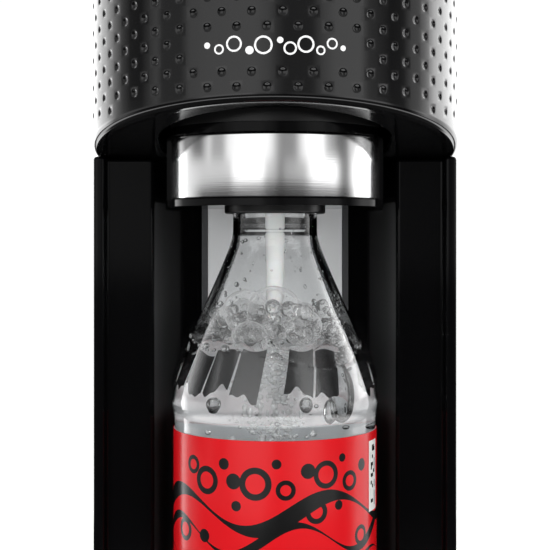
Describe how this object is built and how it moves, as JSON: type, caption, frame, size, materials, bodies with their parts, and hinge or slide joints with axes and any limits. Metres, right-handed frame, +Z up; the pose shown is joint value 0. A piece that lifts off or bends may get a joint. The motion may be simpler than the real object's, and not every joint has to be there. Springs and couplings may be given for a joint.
{
  "type": "soda carbonator",
  "caption": "Slim hand-operated sparkling-water maker: dimpled head with a round button, tilting holder with a hanging clear bottle, gas cylinder behind, slide-out drip tray.",
  "frame": {"origin": "centre of the footprint, on the floor under the feet", "axes": "+X to the user's right, -Y out of the front, where the bottle hangs, +Z up"},
  "size_m": [0.13, 0.185, 0.425],
  "materials": {
    "gloss_black": "high gloss black ABS",
    "dimpled_black": "high gloss black ABS with rows of small dimples",
    "satin_black": "satin black ABS",
    "frame_black": "matt black glass-filled nylon",
    "light_grey": "light grey, satin",
    "dark_grey": "dark grey, satin",
    "white_plastic": "white food-safe plastic",
    "clear_pet": "clear PET",
    "label_red": "printed red sleeve, glossy film",
    "rubber": "matt black rubber",
    "steel_brushed": "brushed steel",
    "steel_plain": "zinc-plated steel",
    "chrome": "polished chrome",
    "brass": "turned brass",
    "cast_alloy": "cast aluminium alloy",
    "cylinder_paint": "aluminium cylinder, satin blue-grey lacquer"
  },
  "bodies": {
    "machine_body": {"base_housing": "gloss_black", "rubber_feet": "rubber", "base_plate": "frame_black", "base_screws": "steel_plain", "front_housing": "gloss_black", "column_insert": "light_grey", "insert_trim": "dark_grey", "head_underside": "satin_black", "head_shell": "dimpled_black", "top_cover": "gloss_black", "button_trim_ring": "chrome", "button_guide": "frame_black", "button_spring": "steel_plain", "lever_pin": "steel_plain", "lever_bracket": "steel_plain", "valve_block": "cast_alloy", "valve_fitting": "brass", "safety_valve": "brass", "valve_block_screws": "steel_plain", "gas_hose": "rubber", "chassis": "steel_plain", "chassis_screws": "steel_plain", "cylinder_saddle": "frame_black", "holder_bracket": "steel_plain", "bracket_screws": "steel_plain", "tilt_pin": "steel_plain"},
    "button": {"carbonation_button": "gloss_black", "button_stem": "cast_alloy"},
    "lever": {"rocker_lever": "cast_alloy"},
    "plunger": {"actuator_plunger": "brass"},
    "cylinder": {"co2_cylinder": "cylinder_paint", "cylinder_valve": "brass", "cylinder_washer": "white_plastic"},
    "valve_pin": {"valve_pin": "steel_plain"},
    "holder": {"holder_housing": "gloss_black", "holder_cap": "satin_black", "steel_band": "steel_brushed", "neck_collar": "satin_black", "bottle_seal": "rubber", "nozzle_block": "white_plastic", "carbonation_tube": "white_plastic", "relief_valve": "brass", "holder_screws": "steel_plain", "holder_fitting": "brass"},
    "jaw_left": {"latch_jaw_left": "chrome"},
    "jaw_right": {"latch_jaw_right": "chrome"},
    "bottle": {"bottle_shell": "clear_pet", "bottle_label": "label_red"},
    "rear_cover": {"rear_cover": "dimpled_black", "latch_spring": "steel_plain"},
    "cover_latch": {"latch_button": "dark_grey"},
    "drip_tray": {"drip_tray": "satin_black"},
    "grille": {"drip_grille": "steel_brushed"}
  },
  "joints": [
    {"name": "button_press", "type": "slide", "parent": "machine_body", "child": "button", "axis": [0, 0, -1], "range_m": [0, 0.008], "stiffness_N_per_m": 700, "springref_m": -0.006, "deforming": ["button_spring"]},
    {"name": "lever_rock", "type": "hinge", "parent": "machine_body", "child": "lever", "pos_m": [0, 0.076, 0.384], "axis": [1, 0, 0], "range_deg": [0, 4.5]},
    {"name": "plunger_push", "type": "slide", "parent": "machine_body", "child": "plunger", "axis": [0, 0, -1], "range_m": [0, 0.0019]},
    {"name": "cylinder_turn", "type": "hinge", "parent": "machine_body", "child": "cylinder", "pos_m": [0, 0.052, 0.2], "axis": [0, 0, 1], "continuous": true},
    {"name": "valve_pin_push", "type": "slide", "parent": "cylinder", "child": "valve_pin", "axis": [0, 0, -1], "range_m": [0, 0.0019]},
    {"name": "holder_tilt", "type": "hinge", "parent": "machine_body", "child": "holder", "pos_m": [0, -0.008, 0.318], "axis": [1, 0, 0], "range_deg": [-15, 0], "deforming": ["gas_hose"]},
    {"name": "bottle_release", "type": "slide", "parent": "holder", "child": "bottle", "axis": [0, 0, -1], "range_m": [0, 0.012]},
    {"name": "jaw_left_slide", "type": "slide", "parent": "holder", "child": "jaw_left", "axis": [-1, 0, 0], "range_m": [0, 0.003]},
    {"name": "jaw_right_slide", "type": "slide", "parent": "holder", "child": "jaw_right", "axis": [1, 0, 0], "range_m": [0, 0.003]},
    {"name": "rear_cover_pull", "type": "slide", "parent": "machine_body", "child": "rear_cover", "axis": [0, 1, 0], "range_m": [0, 0.09]},
    {"name": "cover_latch_press", "type": "slide", "parent": "rear_cover", "child": "cover_latch", "axis": [0, -1, 0], "range_m": [0, 0.003], "stiffness_N_per_m": 300, "springref_m": -0.002, "deforming": ["latch_spring"]},
    {"name": "drip_tray_slide", "type": "slide", "parent": "machine_body", "child": "drip_tray", "axis": [0, -1, 0], "range_m": [0, 0.095]},
    {"name": "grille_lift", "type": "slide", "parent": "drip_tray", "child": "grille", "axis": [0, 0, 1], "range_m": [0, 0.009]}
  ],
  "couplings": [
    {"joint": "lever_rock", "follows": "button_press", "rad_per_m": 9.6618},
    {"joint": "plunger_push", "follows": "button_press", "ratio": 0.23188},
    {"joint": "valve_pin_push", "follows": "button_press", "ratio": 0.23188},
    {"joint": "jaw_left_slide", "follows": "bottle_release", "ratio": 0.25},
    {"joint": "jaw_right_slide", "follows": "bottle_release", "ratio": 0.25}
  ]
}
